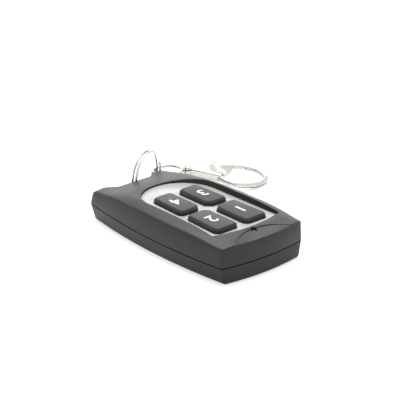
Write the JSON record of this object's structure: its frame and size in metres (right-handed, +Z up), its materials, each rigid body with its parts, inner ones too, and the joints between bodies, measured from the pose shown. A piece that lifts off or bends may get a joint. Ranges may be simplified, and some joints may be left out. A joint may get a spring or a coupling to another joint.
{
  "type": "remote control",
  "caption": "Key fob remote: shield-shaped pale panel with bevelled push buttons, small indicator light, cross bar with a split ring and a swivel clasp with a sprung trigger.",
  "frame": {"origin": "on the table under the middle of the case", "axes": "+X across the case, +Y toward the end with the light, +Z up"},
  "size_m": [0.0623, 0.0655, 0.0157],
  "materials": {
    "case_plastic": "fine satin texture",
    "panel_plastic": "smooth, off-white",
    "button_plastic": "fine satin, printed numeral",
    "switch_plastic": "moulded",
    "board_laminate": "green solder mask",
    "lens_plastic": "clear red, unlit",
    "cell_steel": "brushed can",
    "contact_steel": "tinned spring strip",
    "chip_plastic": "moulded",
    "copper_wire": "bare copper",
    "screw_steel": "zinc plated",
    "dark_pin": "blackened",
    "nickel": "bright nickel plate"
  },
  "bodies": {
    "case": {"lower_case": "case_plastic", "upper_case": "case_plastic", "panel": "panel_plastic", "circuit_board": "board_laminate", "switch_1": "switch_plastic", "switch_2": "switch_plastic", "switch_3": "switch_plastic", "switch_4": "switch_plastic", "led": "lens_plastic", "coin_cell": "cell_steel", "cell_spring": "contact_steel", "cell_clip": "contact_steel", "controller_chip": "chip_plastic", "resonator_can": "contact_steel", "crystal": "contact_steel", "antenna_loop": "copper_wire", "case_screws": "screw_steel", "cross_bar": "dark_pin"},
    "key_1": {"button_1": "button_plastic"},
    "key_2": {"button_2": "button_plastic"},
    "key_3": {"button_3": "button_plastic"},
    "key_4": {"button_4": "button_plastic"},
    "ring": {"split_ring": "nickel"},
    "eye": {"swivel_eye": "nickel"},
    "clasp": {"clasp_body": "nickel", "pivot_pin": "nickel"},
    "clasp_trigger": {"trigger": "nickel"}
  },
  "joints": [
    {"name": "press_1", "type": "slide", "parent": "case", "child": "key_1", "axis": [0, 0, -1], "range_m": [0, 0.00035], "stiffness_N_per_m": 600},
    {"name": "press_2", "type": "slide", "parent": "case", "child": "key_2", "axis": [0, 0, -1], "range_m": [0, 0.00035], "stiffness_N_per_m": 600},
    {"name": "press_3", "type": "slide", "parent": "case", "child": "key_3", "axis": [0, 0, -1], "range_m": [0, 0.00035], "stiffness_N_per_m": 600},
    {"name": "press_4", "type": "slide", "parent": "case", "child": "key_4", "axis": [0, 0, -1], "range_m": [0, 0.00035], "stiffness_N_per_m": 600},
    {"name": "ring_turn", "type": "hinge", "parent": "case", "child": "ring", "pos_m": [-0.00762, -0.03052, 0.00792], "axis": [-0.3665, 0.9304, 0], "range_deg": [0, 60]},
    {"name": "eye_on_ring", "type": "hinge", "parent": "ring", "child": "eye", "pos_m": [-0.01455, -0.03325, 0.0062], "axis": [0, 0, 1], "range_deg": [-20, 40]},
    {"name": "clasp_swivel", "type": "hinge", "parent": "eye", "child": "clasp", "pos_m": [-0.02262, -0.02906, 0.0063], "axis": [-0.855, 0.4756, -0.207], "continuous": true},
    {"name": "trigger_pivot", "type": "hinge", "parent": "clasp", "child": "clasp_trigger", "pos_m": [-0.03181, -0.02717, 0.00512], "axis": [-0.0579, 0.3091, 0.9493], "range_deg": [-22, 0], "stiffness_Nm_per_rad": 0.002}
  ]
}
